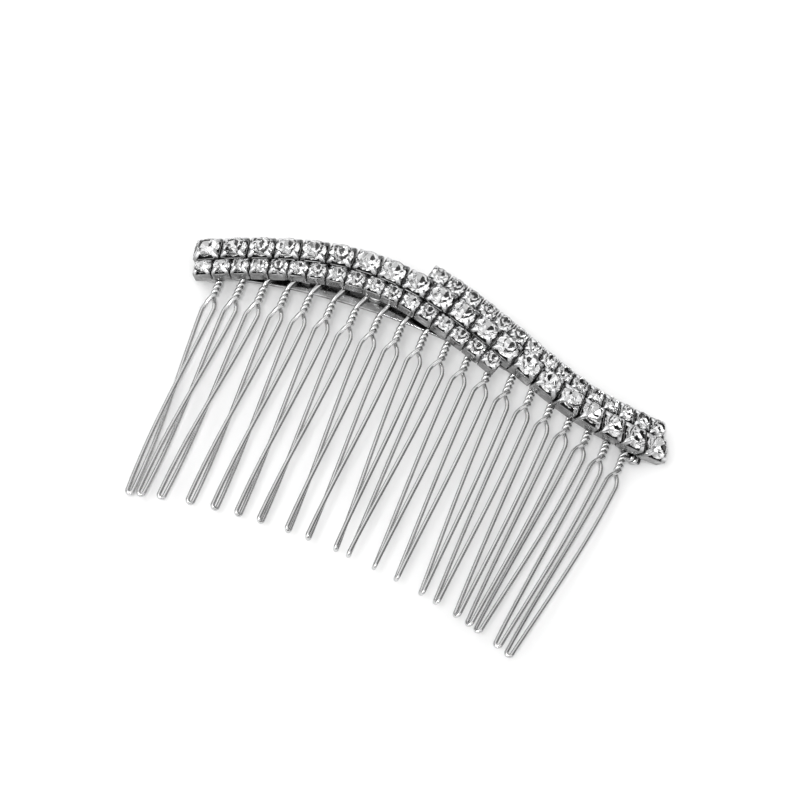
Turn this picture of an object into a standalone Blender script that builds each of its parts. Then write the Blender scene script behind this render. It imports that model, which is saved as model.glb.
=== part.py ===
"""Wire hair comb with a rhinestone ornament.

A flat metal band is bent into an arch about an axis along Y. A wire is wound round it at each
of 20 teeth, twisted into a neck under the band and let down as a long hairpin. Three rows of
square claw cups, each with its stones, follow an S-shaped line along the convex face of the band.

X runs along the comb, +Y points from the teeth to the ornament, +Z is the convex side. The comb
lies on its concave side, as on a table, with its origin under the middle of its bounding box.

A place on the comb is given by three numbers in millimetres: s, the arc length along the arch
from its middle, y, and h, the height over the middle surface of the band.
"""
import math

import bmesh
import bpy
import numpy as np
from mathutils import Matrix, Vector

for old in list(bpy.data.objects):
    bpy.data.objects.remove(old, do_unlink=True)

MM = 0.001                      # every dimension below is in millimetres

# ---- arch and band
ARCH_RADIUS = 64.0              # radius of the band's middle surface
BAND_THICK = 0.5
BAND_Y0, BAND_Y1 = 0.6, 3.4     # lower and upper edge of the band
BAND_HALF = 37.4                # half of the band's arc length
GAP = 0.25                      # clearance between neighbouring pieces

# ---- comb wire
WIRE = 0.72                     # wire diameter
TEETH = 20
TOOTH_PITCH = 3.6
NECK_END = -2.9                 # y where the twisted neck opens into the two legs
NECK_A, NECK_B = 0.68, 0.44     # half diagonals of the neck's two-wire section
NECK_TURN = math.radians(55)    # turn of that section from ring to ring
NECK_RINGS = 8
TOOTH_REACH = 39.3              # y distance from the band's foot to the middle tips
REACH_SLOPE = 0.024             # the teeth get longer towards +X
EYE_RADIUS = 0.42               # centre-line radius of the hairpin's top and tip
SHOULDER = 0.62                 # largest half distance between the legs
SHOULDER_DROP = 3.0             # how far under the neck the legs are widest
TIP_DROP, TIP_ARCH = 0.5, 1.4   # the tips lie lower than the arch, most of all at the ends
TIP_LEAN = 0.9                  # all tips lean this far towards -X
END_LEAN, END_LEAN_FROM, END_LEAN_POWER = 5.2, 14.0, 1.5    # the last teeth lean further
# The hairpins were bent by hand: how far each tip stands off its even place.
TIP_STRAY = (1.25, -0.55, -0.9, 0.0, 0.2, 0.2, 0.0, 0.6, 0.1, 0.8,
             -0.8, -0.3, -0.3, 0.3, -0.6, 0.0, -0.5, -1.4, 0.0, 0.0)

# ---- wire ends, wound round the band outside the first and the last tooth
END_TURNS = 2
END_TURN_PITCH = 0.8

# ---- ornament line: arc length s, height y and slope of the S curve's knots
RAIL = ((-38.2, 3.45, 0.14), (-13.0, 6.9, 0.0), (23.0, 0.42, 0.0), (38.2, 3.85, 0.38))
ROW_SPACING = 3.2               # from the large row's line to a small row's line
ORNAMENT_BASE = BAND_THICK / 2 + GAP + WIRE + GAP - 0.02    # underside of the cups

# ---- cups: heights over ORNAMENT_BASE
LARGE = dict(count=20, gap=0.28, width=3.44, post=0.54, link=0.35, floor=0.35, wall=1.1,
             claw=2.1, stone=1.6, culet=0.6, girdle=(1.35, 1.6), table=2.3, table_share=0.56)
SMALL = dict(pitch=2.84, gap=0.24, width=2.48, post=0.35, link=0.3, floor=0.3, wall=0.8,
             claw=1.55, stone=1.2, culet=0.55, girdle=(1.05, 1.3), table=1.75, table_share=0.56)
LEFT_COUNT, RIGHT_COUNT = 17, 15

# ---- solder pads between the band and the cups, after these teeth
PAD_TEETH = (1, 4, 7, 10, 13, 16, 19)
PAD_LENGTH, PAD_WIDTH = 1.8, 1.9


# ---------------------------------------------------------------- places
def on_arch(s, y, h):
    """Point at arc length s, height y and h over the band's middle surface."""
    a = s / ARCH_RADIUS
    return Vector(((ARCH_RADIUS + h) * math.sin(a), y, (ARCH_RADIUS + h) * math.cos(a)))


def arch_axes(s):
    """Unit vectors along the arch, along Y and out of the convex face."""
    a = s / ARCH_RADIUS
    return (Vector((math.cos(a), 0.0, -math.sin(a))), Vector((0.0, 1.0, 0.0)),
            Vector((math.sin(a), 0.0, math.cos(a))))


def frame_matrix(x_axis, y_axis, z_axis, origin):
    """Matrix that carries a local frame in millimetres to its place in metres."""
    m = Matrix((x_axis, y_axis, z_axis)).transposed().to_4x4()
    m.translation = origin * MM
    return m


# ---------------------------------------------------------------- objects and materials
def make_material(name, colour, metallic, roughness, transmission=0.0):
    mat = bpy.data.materials.new(name)
    mat.use_nodes = True
    bsdf = mat.node_tree.nodes["Principled BSDF"]
    bsdf.inputs["Base Color"].default_value = (*colour, 1.0)
    bsdf.inputs["Metallic"].default_value = metallic
    bsdf.inputs["Roughness"].default_value = roughness
    bsdf.inputs["Transmission Weight"].default_value = transmission
    mat.diffuse_color = (*colour, 1.0)
    return mat


MATERIALS = {
    "band": make_material("polished_band", (0.72, 0.72, 0.73), 1.0, 0.12),
    "wire": make_material("plated_wire", (0.66, 0.66, 0.67), 1.0, 0.18),
    "cups": make_material("plated_cups", (0.70, 0.70, 0.71), 1.0, 0.16),
    "solder": make_material("solder", (0.45, 0.45, 0.46), 1.0, 0.45),
    "stone": make_material("clear_stone", (0.92, 0.93, 0.95), 0.0, 0.02, 0.6),
}

nodes = []


def add_object(name, mesh, material, matrix=None):
    """Adds one node; a mesh that is used again keeps the material of its first user."""
    if not mesh.materials:
        mesh.materials.append(MATERIALS[material])
    obj = bpy.data.objects.new(name, mesh)
    if matrix is not None:
        obj.matrix_world = matrix
    bpy.context.scene.collection.objects.link(obj)
    nodes.append(obj)
    return obj


def to_mesh(name, bm, smooth_angle=None):
    """Closes a bmesh that was built in millimetres and returns it as a mesh in metres."""
    bmesh.ops.recalc_face_normals(bm, faces=bm.faces)
    bmesh.ops.scale(bm, vec=(MM, MM, MM), verts=bm.verts)
    mesh = bpy.data.meshes.new(name)
    bm.to_mesh(mesh)
    bm.free()
    if smooth_angle is not None:
        mesh.shade_smooth()
        mesh.set_sharp_from_angle(angle=math.radians(smooth_angle))
    return mesh


def loft(bm, rings, closed=False):
    """Skins equal rings of points; an open loft gets a flat cap at each end."""
    verts = [[bm.verts.new(p) for p in ring] for ring in rings]
    count = len(rings[0])
    for k in range(len(verts) if closed else len(verts) - 1):
        near, far = verts[k], verts[(k + 1) % len(verts)]
        for i in range(count):
            j = (i + 1) % count
            bm.faces.new((near[i], near[j], far[j], far[i]))
    if not closed:
        bm.faces.new(verts[0])
        bm.faces.new(reversed(verts[-1]))


def wire_rings(points, side_axes, radius, closed, sides=5):
    """Round sections along a path; side_axes gives one axis of each section."""
    rings = []
    last = len(points) - 1
    for k, p in enumerate(points):
        before = points[k - 1] if closed or k else points[0]
        after = points[(k + 1) % len(points)] if closed or k < last else points[last]
        tangent = (after - before).normalized()
        axis = side_axes[k]
        axis = (axis - tangent * axis.dot(tangent)).normalized()
        other = tangent.cross(axis)
        rings.append([p + radius * (math.cos(t) * axis + math.sin(t) * other)
                      for t in (2 * math.pi * i / sides for i in range(sides))])
    return rings


# ---------------------------------------------------------------- band
def tooth_s(number):
    """Arc length of a tooth, numbered from 1 at the -X end."""
    return (number - 0.5 - TEETH / 2) * TOOTH_PITCH


def build_band():
    """A strip of flat facets: a short one under each tooth, a clear one between two teeth."""
    clear = 2.0                                     # arc length of a clear facet
    stations = [-BAND_HALF]
    for number in range(1, TEETH + 1):
        stations += [tooth_s(number) - (TOOTH_PITCH - clear) / 2,
                     tooth_s(number) + (TOOTH_PITCH - clear) / 2]
    stations.append(BAND_HALF)
    t = BAND_THICK / 2
    section = ((BAND_Y0, -t), (BAND_Y1, -t), (BAND_Y1, t), (BAND_Y0, t))
    bm = bmesh.new()
    loft(bm, [[on_arch(s, y, h) for y, h in section] for s in stations])
    add_object("spine_band", to_mesh("spine_band", bm), "band")


# ---------------------------------------------------------------- comb wire
WRAP_H = BAND_THICK / 2 + GAP + WIRE / 2            # wire centre line in front of the band
WRAP_Y0 = BAND_Y0 - GAP - WIRE / 2
WRAP_Y1 = BAND_Y1 + GAP + WIRE / 2
WRAP_CORNER = 0.35                                  # cut of the wire path's corners


def wrap_path():
    """Corner points (y, h) of one turn of wire round the band, from its lower front corner."""
    c = WRAP_CORNER
    return ((WRAP_Y0 + c, WRAP_H), (WRAP_Y1 - c, WRAP_H), (WRAP_Y1, WRAP_H - c),
            (WRAP_Y1, c - WRAP_H), (WRAP_Y1 - c, -WRAP_H), (WRAP_Y0 + c, -WRAP_H),
            (WRAP_Y0, c - WRAP_H), (WRAP_Y0, WRAP_H - c))


def hairpin_path(length):
    """Half outline of the hairpin: (half distance of the legs, distance under the neck)."""
    e, diagonal = EYE_RADIUS, EYE_RADIUS * math.sqrt(0.5)
    return ((0.0, 0.0), (diagonal, e - diagonal), (e, e), (SHOULDER, SHOULDER_DROP),
            (e, length - e), (diagonal, length - e + diagonal), (0.0, length))


def tip_place(number):
    """The end of a tooth's wire centre line."""
    s_root = tooth_s(number)
    lean = TIP_LEAN
    if s_root > END_LEAN_FROM:
        lean += END_LEAN * ((s_root - END_LEAN_FROM) / TEETH) ** END_LEAN_POWER
    s = s_root - lean + TIP_STRAY[number - 1]
    reach = TOOTH_REACH + REACH_SLOPE * s_root
    tip = on_arch(s, WIRE / 2 - reach, 0.0)
    tip.z -= TIP_DROP + TIP_ARCH * (s / tooth_s(TEETH)) ** 2
    return tip


def union(target, tools):
    """Joins tools to target as one body; the tools stay as hidden guides."""
    for tool in tools:
        tool.hide_render = True
        tool.display_type = "WIRE"
        nodes.remove(tool)
        modifier = target.modifiers.new("join_" + tool.name, "BOOLEAN")
        modifier.operation = "UNION"
        modifier.solver = "EXACT"
        modifier.object = tool


def build_tooth(number):
    name = f"tooth_{number:02d}"
    s = tooth_s(number)
    along, up, out = arch_axes(s)

    bm = bmesh.new()
    top = on_arch(s, NECK_END, 0.0)
    tip = tip_place(number)
    down = (tip - top).normalized()
    side = (along - down * along.dot(down)).normalized()
    half = hairpin_path((tip - top).length)
    outline = list(half) + [(-a, b) for a, b in reversed(half[1:-1])]
    points = [top + side * a + down * b for a, b in outline]
    normal = side.cross(down)
    loft(bm, wire_rings(points, [normal] * len(points), WIRE / 2, closed=True), closed=True)
    tooth = add_object(name, to_mesh(name, bm, 50), "wire")

    bm = bmesh.new()
    neck_top = WRAP_Y0 + 0.1
    rings = []
    for k in range(NECK_RINGS):
        y = neck_top + (NECK_END - 0.1 - neck_top) * k / (NECK_RINGS - 1)
        turn = NECK_TURN * k
        ring = []
        for a, b in ((NECK_A, 0.0), (0.0, NECK_B), (-NECK_A, 0.0), (0.0, -NECK_B)):
            ring.append(on_arch(s, y, 0.0)
                        + along * (a * math.cos(turn) - b * math.sin(turn))
                        + out * (a * math.sin(turn) + b * math.cos(turn)))
        rings.append(ring)
    loft(bm, rings)
    neck = add_object(name + "_neck", to_mesh(name + "_neck", bm, 50), "wire")

    bm = bmesh.new()
    points = [on_arch(s, y, 0.0) + out * h for y, h in wrap_path()]
    loft(bm, wire_rings(points, [along] * len(points), WIRE / 2, closed=True), closed=True)
    wrap = add_object(name + "_wrap", to_mesh(name + "_wrap", bm, 50), "wire")
    union(tooth, (neck, wrap))


def build_wire_end(name, side):
    """A few turns of wire round the band, side by side, outside the outermost tooth."""
    first = tooth_s(TEETH) + WIRE + GAP
    corners = wrap_path()
    count = END_TURNS * len(corners) + 1
    points, axes = [], []
    for k in range(count):
        y, h = corners[k % len(corners)]
        s = side * (first + END_TURN_PITCH * k / len(corners))
        along, _, out = arch_axes(s)
        points.append(on_arch(s, y, h))
        axes.append(along)
    bm = bmesh.new()
    loft(bm, wire_rings(points, axes, WIRE / 2, closed=False))
    add_object(name, to_mesh(name, bm, 50), "wire")


# ---------------------------------------------------------------- ornament line
def rail_point(s):
    """Height y of the large row's middle line: smooth between the knots of RAIL."""
    for (s0, y0, m0), (s1, y1, m1) in zip(RAIL, RAIL[1:]):
        if s <= s1:
            break
    w = s1 - s0
    t = (s - s0) / w
    return ((2 * t ** 3 - 3 * t ** 2 + 1) * y0 + (t ** 3 - 2 * t ** 2 + t) * w * m0
            + (3 * t ** 2 - 2 * t ** 3) * y1 + (t ** 3 - t ** 2) * w * m1)


class Line:
    """The large row's line, or a line beside it, measured along its own length."""

    def __init__(self, offset):
        s = np.linspace(RAIL[0][0], RAIL[-1][0], 600)
        y = np.array([rail_point(v) for v in s])
        slope = np.arctan2(np.gradient(y), np.gradient(s))
        s, y = s - offset * np.sin(slope), y + offset * np.cos(slope)
        self.u = np.concatenate(([0.0], np.cumsum(np.hypot(np.diff(s), np.diff(y)))))
        self.s, self.y, self.slope = s, y, slope
        self.length = self.u[-1]

    def at(self, u):
        return (float(np.interp(u, self.u, self.s)), float(np.interp(u, self.u, self.y)),
                float(np.interp(u, self.u, self.slope)))

    def point(self, u, v, h):
        """Point at length u, v to the line's +Y side and h over the cups' underside."""
        s, y, slope = self.at(u)
        return on_arch(s - v * math.sin(slope), y + v * math.cos(slope), ORNAMENT_BASE + h)

    def matrix(self, u):
        """Frame of a stone: X along the line, Z out of the convex face."""
        s, y, slope = self.at(u)
        along, up, out = arch_axes(s)
        x_axis = along * math.cos(slope) + up * math.sin(slope)
        return frame_matrix(x_axis, out.cross(x_axis), out, on_arch(s, y, ORNAMENT_BASE))


def stepped_solid(name, us, vs, tops, place):
    """Solid over a grid of cells, each with its own flat top, on a common underside."""
    columns, rows = len(us) - 1, len(vs) - 1
    bm = bmesh.new()
    made = {}

    def vert(i, j, h):
        if (i, j, h) not in made:
            made[i, j, h] = bm.verts.new(place(us[i], vs[j], h))
        return made[i, j, h]

    def top(i, j):
        return tops[i][j] if 0 <= i < columns and 0 <= j < rows else 0.0

    def rise(i, j, low, high):
        """Vertices up the grid corner (i, j), one for each level that meets it."""
        levels = {top(i - 1, j - 1), top(i, j - 1), top(i - 1, j), top(i, j)}
        return [vert(i, j, h) for h in sorted(levels | {low, high}) if low <= h <= high]

    def step(a, b, first, second):
        if a != b:
            low, high = min(a, b), max(a, b)
            bm.faces.new(rise(*first, low, high) + rise(*second, low, high)[::-1])

    for i in range(columns):
        for j in range(rows):
            h = tops[i][j]
            bm.faces.new((vert(i, j, h), vert(i + 1, j, h), vert(i + 1, j + 1, h),
                          vert(i, j + 1, h)))
    for i in range(columns + 1):
        for j in range(rows):
            step(top(i - 1, j), top(i, j), (i, j), (i, j + 1))
    for i in range(columns):
        for j in range(rows + 1):
            step(top(i, j - 1), top(i, j), (i, j), (i + 1, j))
    for i in range(columns):
        near = range(rows + 1) if i == 0 else (0, rows)
        far = range(rows + 1) if i == columns - 1 else (0, rows)
        bm.faces.new([vert(i, j, 0.0) for j in near]
                     + [vert(i + 1, j, 0.0) for j in reversed(far)])
    return to_mesh(name, bm)


def build_cup_row(name, line, start, pitch, count, cup):
    """Square cups in a row: a floor, four low walls, and a claw at each corner."""
    side = cup["width"] / 2
    vs = (-side, cup["post"] - side, side - cup["post"], side)
    us, tops = [], []
    for k in range(count):
        u0 = start + pitch * k + cup["gap"] / 2
        u1 = start + pitch * (k + 1) - cup["gap"] / 2
        if k:
            tops.append((cup["link"],) * 3)
        us += [u0, u0 + cup["post"], u1 - cup["post"], u1]
        claws = (cup["claw"], cup["wall"], cup["claw"])
        tops += [claws, (cup["wall"], cup["floor"], cup["wall"]), claws]
    add_object(name, stepped_solid(name, us, vs, tops, line.point), "cups")


def stone_mesh(name, cup):
    """Round faceted stone as an eight-sided solid: point, girdle, crown and table."""
    bm = bmesh.new()
    low, high = cup["girdle"]
    r = cup["stone"]
    rings = [(0.12 * r, cup["culet"]), (r, low), (r, high), (cup["table_share"] * r, cup["table"])]
    angles = [math.pi * (2 * i + 1) / 8 for i in range(8)]
    loft(bm, [[Vector((a * math.cos(t), a * math.sin(t), h)) for t in angles] for a, h in rings])
    return to_mesh(name, bm)


def build_large_stones(line, pitch):
    mesh = stone_mesh("large_stone", LARGE)
    for k in range(LARGE["count"]):
        add_object(f"large_stone_{k + 1:02d}", mesh, "stone", line.matrix(pitch * (k + 0.5)))


def build_stone_strip(name, line, start, count):
    """The stones of a small row, linked at their girdles over the cups' low end walls."""
    cup = SMALL
    r, share = cup["stone"], cup["table_share"]
    low, high = cup["girdle"]
    corner = math.tan(math.pi / 8)
    bm = bmesh.new()
    rings = []

    def section(u, girdle, table, under, foot):
        """Six points across the strip: girdle, table and underside."""
        v_h = ((-girdle, low), (-girdle, high), (-table[0], table[1]), (table[0], table[1]),
               (girdle, high), (girdle, low), (under, foot), (-under, foot))
        return [line.point(u, v, h) for v, h in v_h]

    for k in range(count):
        u = start + cup["pitch"] * (k + 0.5)
        end = (corner * r, (0.7 * corner * r, high + 0.02), 0.7 * corner * r, low - 0.02)
        full = (r, (share * r, cup["table"]), 0.15 * r, cup["culet"])
        rings += [section(u - r, *end), section(u - corner * r, *full),
                  section(u + corner * r, *full), section(u + r, *end)]
    loft(bm, rings)
    add_object(name, to_mesh(name, bm), "stone")


def build_pads():
    """Solder between the band and the cups, in the clear spaces between the teeth."""
    low, high = BAND_THICK / 2 + GAP, ORNAMENT_BASE - GAP
    middle = (BAND_Y0 + BAND_Y1) / 2
    bm = bmesh.new()
    a, b, taper = PAD_LENGTH / 2, PAD_WIDTH / 2, 0.85
    loft(bm, [[Vector((x * f, y * f, h)) for x, y in ((-a, -b), (a, -b), (a, b), (-a, b))]
              for f, h in ((1.0, low), (taper, high))])
    mesh = to_mesh("solder_pad", bm)
    for k, number in enumerate(PAD_TEETH):
        s = tooth_s(number) + TOOTH_PITCH / 2
        add_object(f"solder_pad_{k + 1}", mesh, "solder",
                   frame_matrix(*arch_axes(s), on_arch(s, middle, 0.0)))


def stand_on_origin():
    """Hangs every node on one empty that brings the box's foot to the origin."""
    bpy.context.view_layer.update()
    corners = np.array([node.matrix_world @ Vector(c) for node in nodes for c in node.bound_box])
    low, high = corners.min(axis=0), corners.max(axis=0)
    root = bpy.data.objects.new("comb", None)
    bpy.context.scene.collection.objects.link(root)
    root.location = (-(low[0] + high[0]) / 2, -(low[1] + high[1]) / 2, -low[2])
    guides = [modifier.object for node in nodes for modifier in node.modifiers]
    for obj in nodes + guides:
        obj.parent = root


def build():
    build_band()
    for number in range(1, TEETH + 1):
        build_tooth(number)
    build_wire_end("wire_end_left", -1)
    build_wire_end("wire_end_right", 1)

    middle, lower, upper = Line(0.0), Line(-ROW_SPACING), Line(ROW_SPACING)
    pitch = middle.length / LARGE["count"]
    upper_start = upper.length - RIGHT_COUNT * SMALL["pitch"]
    build_cup_row("large_cup_row", middle, 0.0, pitch, LARGE["count"], LARGE)
    build_cup_row("left_small_cup_row", lower, 0.0, SMALL["pitch"], LEFT_COUNT, SMALL)
    build_cup_row("right_small_cup_row", upper, upper_start, SMALL["pitch"], RIGHT_COUNT, SMALL)
    build_large_stones(middle, pitch)
    build_stone_strip("left_small_stones", lower, 0.0, LEFT_COUNT)
    build_stone_strip("right_small_stones", upper, upper_start, RIGHT_COUNT)
    build_pads()
    stand_on_origin()


build()
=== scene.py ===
"""Looks of the rhinestone hair comb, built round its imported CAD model.

The band, the wound and twisted wire, the claw cups, the foiled stones and the solder are fine
meshes that stand for the CAD nodes. They follow the part's own arch: a place on the comb is
given in millimetres by s, the arc length from the middle, y, and h, the height over the band's
middle surface. The row frame gives where that arch stands.
"""

import math
import random

import bpy
import numpy as np
from mathutils import Matrix, Vector


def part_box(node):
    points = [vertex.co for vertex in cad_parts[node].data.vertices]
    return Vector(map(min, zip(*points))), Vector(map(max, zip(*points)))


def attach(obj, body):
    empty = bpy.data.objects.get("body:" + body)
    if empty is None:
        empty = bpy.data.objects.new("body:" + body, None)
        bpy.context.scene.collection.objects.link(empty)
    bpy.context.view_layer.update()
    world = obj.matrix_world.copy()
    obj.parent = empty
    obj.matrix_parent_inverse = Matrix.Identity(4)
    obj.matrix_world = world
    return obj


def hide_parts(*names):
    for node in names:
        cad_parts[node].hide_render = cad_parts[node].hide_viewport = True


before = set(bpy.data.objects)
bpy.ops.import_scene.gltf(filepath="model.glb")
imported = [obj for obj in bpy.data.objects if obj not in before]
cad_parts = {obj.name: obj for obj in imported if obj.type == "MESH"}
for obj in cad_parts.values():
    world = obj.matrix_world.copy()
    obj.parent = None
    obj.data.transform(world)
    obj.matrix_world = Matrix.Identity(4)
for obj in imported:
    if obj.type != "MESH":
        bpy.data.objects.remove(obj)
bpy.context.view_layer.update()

MM = 0.001                      # every dimension below is in millimetres

# ---- the part's own design values
ARCH_RADIUS = 64.0
CAD_BAND_THICK = 0.5
BAND_Y0, BAND_Y1 = 0.6, 3.4     # the band's lower and upper edge
BAND_HALF = 37.4
CLEAR_FACET_HALF = 1.0          # half the arc length of the CAD band's highest facet
TEETH = 20
TOOTH_PITCH = 3.6
TOOTH_REACH, REACH_SLOPE = 39.3, 0.024          # a tooth's length, and how it grows with s
CAD_WIRE = 0.72
TIP_DROP, TIP_ARCH = 0.5, 1.4   # how far the middle tip sinks, and how much more the last ones do
TIP_LEAN = 0.9                  # all tips lean this far towards -X
END_LEAN, END_LEAN_FROM = 5.2, 14.0             # the last teeth lean further, from this s on
END_LEAN_LENGTH, END_LEAN_POWER = 20.0, 1.5
# How far each tip stands off its even place, worked out from the photograph and rounded.
TIP_STRAY = (1.25, -0.55, -0.9, 0.0, 0.2, 0.2, 0.0, 0.6, 0.1, 0.8,
             -0.8, -0.3, -0.3, 0.3, -0.6, 0.0, -0.5, -1.4, 0.0, 0.0)
# Knots of the large row's line: s, y and slope.
RAIL = ((-38.2, 3.45, 0.14), (-13.0, 6.9, 0.0), (23.0, 0.42, 0.0), (38.2, 3.85, 0.38))
ROW_SPACING = 3.2
ORNAMENT_BASE = 1.45            # h that the heights of cups and stones are counted from
LARGE_COUNT, LEFT_COUNT, RIGHT_COUNT = 20, 17, 15
SMALL_PITCH = 2.84
PAD_TEETH = (1, 4, 7, 10, 13, 16, 19)           # each of these teeth has a solder pad after it

# ---- band
BAND_THICK = 0.42
BAND_EDGE = 0.17                # rounding of the band's edges
BAND_STATIONS = 161
BAND_END_SCALE = 0.93           # size of its two end faces, drawn in like a filed edge
QUARTER_STEPS = 4               # steps round a quarter circle, on the band's edges and the cups

# ---- wire wound round the band
WIRE_RADIUS = 0.325
WIRE_SIDES = 14
WIRE_GAP = 0.005                # from the band's faces; the rounded path cuts its edges a little
FRONT = BAND_THICK / 2 + WIRE_RADIUS + WIRE_GAP         # h of the wire before the band
OVER = BAND_Y1 + WIRE_RADIUS + WIRE_GAP                 # y of the wire over its upper edge
UNDER = BAND_Y0 - WIRE_RADIUS - WIRE_GAP                # and under its lower edge
EDGE_SHARE = 0.8                # of FRONT, where the wire rounds one of these edges
FRONT_ADVANCE = 1.25            # how far the wire leans over the band's front
LEAN_SHARE = 0.35               # most that it leans, of the way to the next run
LOW_LEAN, EDGE_LEAN, FAR_LEAN, BACK_LEAN = 0.05, 1.1, 1.2, 1.3      # shares of the lean on the way
LOW_MARGIN, TOP_MARGIN = 0.1, 0.2               # from the band's edges to a run's corners
NEXT_GAP = 0.05                 # how far short of the next run the wire comes down the back
CUT = 0.62                      # where, down the band's back, one tooth's wire meets the next
COIL_FIRST, COIL_PITCH, COIL_TURNS = 1.3, 0.72, 2
COIL_START = 0.2                # the left coil starts this far behind the band's middle surface

# ---- teeth
STRAND_OFFSET = 0.315           # of each strand from the twisted neck's middle
NECK_TOP = -0.1
TWIST_END = -2.80               # y where the tight twist ends
TWIST_TURNS = 1.6
TWIST_STEPS = 40
OPENING_TURN = 0.30             # turns of the twist's last, loose part
OPENING_LENGTH = 1.5
SHOULDER = 1.04                 # widest half distance of the legs
SHOULDER_LENGTH = 2.6
TAPER_FIRST, TAPER_LAST = 0.95, 2.1             # how late the legs close in, first and last tooth
NECK_AIM = 0.55                 # how far the legs already point at the tip where they start
LEG_STEPS = 44
LEG_CROWDING = 1.6              # over 1, the steps are shorter near the neck
AHEAD = 0.002                   # share of the way over which the legs' direction is read
TIP_HALF = 0.42                 # half distance of the legs at the tip
TIP_STEPS = 12
TIP_TURN_FIRST, TIP_TURN_LAST = 170.0, 40.0     # degrees that the leg pair turns on its way down
TIP_TURN_POWER = 1.35           # over 1, the legs cross further down

# ---- cups: half side, heights of wall and claw, width of a claw along either side of its
# corner, and the stone's radius and the heights of its girdle and table
LARGE = dict(side=1.85, wall=1.20, claw=2.12, post=0.60, stone=1.76, girdle=1.66, table=2.42)
SMALL = dict(side=1.34, wall=0.90, claw=1.63, post=0.46, stone=1.27, girdle=1.23, table=1.85)
LINE_SAMPLES = 600
ROW_STRETCH = 1.045             # cups and stones are this much longer along their row
END_FROM, END_LENGTH = 28.0, 10.2               # the large and upper rows are stretched past here
END_SPREAD = (0.5, 1.15)        # how much further out their left and right ends stand
CUP_TURN, CUP_TILT = 1.2, 0.9   # most degrees that a cup is turned and tilted
CUP_FOOT = -0.50                # the cups' underside
CUP_CORNER = 0.18
CUP_LEVELS = (0.0, 0.05, 0.25, 0.5, 0.66, 0.78, 0.88, 0.96, 1.0)    # rings up a wall
FOOT_ROUNDING = 0.07            # how far the lowest ring is drawn in
SHEET = 0.12                    # thickness of the cups' sheet metal
RIM_RISE = 0.03                 # rounding of the sheet's upper edge
END_WALL_RISE = 0.13            # how much taller the walls facing the next cups are, of a half side
CLAW_ROOT = 0.06                # width over which a wall starts to rise into its claw
CLAW_RISE = (0.75, 0.93, 0.98)  # how far up the claw its outline has come, point by point
CLAW_DIAGONAL = 1.29            # about how far out a claw stands, of the cup's half side
CLAW_HOLD = 0.86                # the distance that it bends in to, of the stone's radius
BEND_FROM, BEND_POWER = 0.62, 1.35              # the bend starts at this share of its height
CLAW_LEAN = (0.88, 1.12)        # least and most of the bend, claw by claw
CLAW_STRAY = (-0.05, 0.05)      # least and most that is added to a claw's height
DIAGONAL = 0.7071               # sine of 45 degrees
LINK_SHARE = 0.7                # half width of the strips between the cups, of a cup's half side
LINK_STEPS = 4
LINK_OVERLAP = 0.5              # how much longer a strip is than its gap
LINK_LOW, LINK_HIGH = 0.02, 0.2                 # heights of its two faces over CUP_FOOT

# ---- stones
STONE_RIM = 0.045               # half height of the girdle, of the radius
TABLE_SHARE = 0.56              # radius of the table, of the stone's
CULET = 0.02                    # height of the point behind
STONE_TURN, STONE_TILT = 9, 2.5                 # most degrees that a stone is turned and tilted

# ---- solder
PAD_Y, PAD_HALF_X, PAD_HALF_Y = 2.55, 0.85, 0.5
PAD_SHIFT = 0.3                 # of a pad from the middle between its teeth
PAD_BITE = 0.03                 # how far a pad reaches into the band and the cups
JOINT_SPACING, JOINT_MARGIN = 7.5, 1.0          # of the small joints between two rows
JOINT_HALF_X, JOINT_HALF_Y = 0.7, 0.42
JOINT_BELOW, JOINT_ABOVE = 0.08, 0.5            # how far they reach from CUP_FOOT
LUMP_PROFILE = ((0.0, 0.80), (0.12, 1.0), (0.35, 0.84), (0.65, 0.80), (0.9, 0.95), (1.0, 0.85))
LUMP_SIDES = 20
LUMP_WAVE, LUMP_RIPPLE = 0.07, 0.05             # how uneven a lump's outline is
LUMP_POWER = 3                  # 2 makes a lump round, more makes it squarer

# ---- degrees over which an edge stays sharp
BAND_SHARP, ROUND_SHARP, CUP_SHARP = 40, 60, 35
JITTER_SEED = 11

# ---- camera, fitted to the photograph: metres, degrees and millimetres of lens
CAMERA_PLACE = Vector((-0.0227, -0.3848, 0.6426))
CAMERA_AZIMUTH, CAMERA_ELEVATION, CAMERA_ROLL = -3.102, 58.412, 26.026
CAMERA_LENS, CAMERA_SENSOR = 229.1, 36.0
CAMERA_CLIP = 0.01

# ---- studio, in metres and watts
LEFT_SOFTBOX = dict(place_at=(-0.55, -0.45, 0.85), size=(1.2, 1.1), power=3.9)
RIGHT_SOFTBOX = dict(place_at=(0.6, -0.35, 0.8), size=(1.1, 1.1), power=3.3)
KEY_DISTANCE, KEY_SHIFT = 1.2, Vector((-0.09, 0.0, 0.05))
KEY_SIZE, KEY_POWER = (0.14, 0.14), 5.0
WORLD_DARK, WORLD_MIDDLE, WORLD_BRIGHT = 0.19, 0.72, 0.6
# Where each shade of the studio starts and ends, along X of a direction.
LEFT_FLAG_END, PANEL_START = (-0.86, -0.78), (-0.80, -0.72)
PANEL_END, RIGHT_FLAG_START = (-0.34, -0.22), (0.30, 0.46)
HOOD_OUTER, HOOD_INNER, HOOD_SHADE = 16, 10, 0.28       # degrees, and the light left inside
FLOOR_HALF, FLOOR_DROP = 2.5, 0.00002


# ---------------------------------------------------------------- places
def arch_origin():
    """Where the arch's own origin stands in the row frame, in metres."""
    low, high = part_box("spine_band")
    top = (ARCH_RADIUS + CAD_BAND_THICK / 2) * math.cos(CLEAR_FACET_HALF / ARCH_RADIUS)
    return Vector(((low.x + high.x) / 2, low.y - BAND_Y0 * MM, high.z - top * MM))


ORIGIN = arch_origin()


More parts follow.
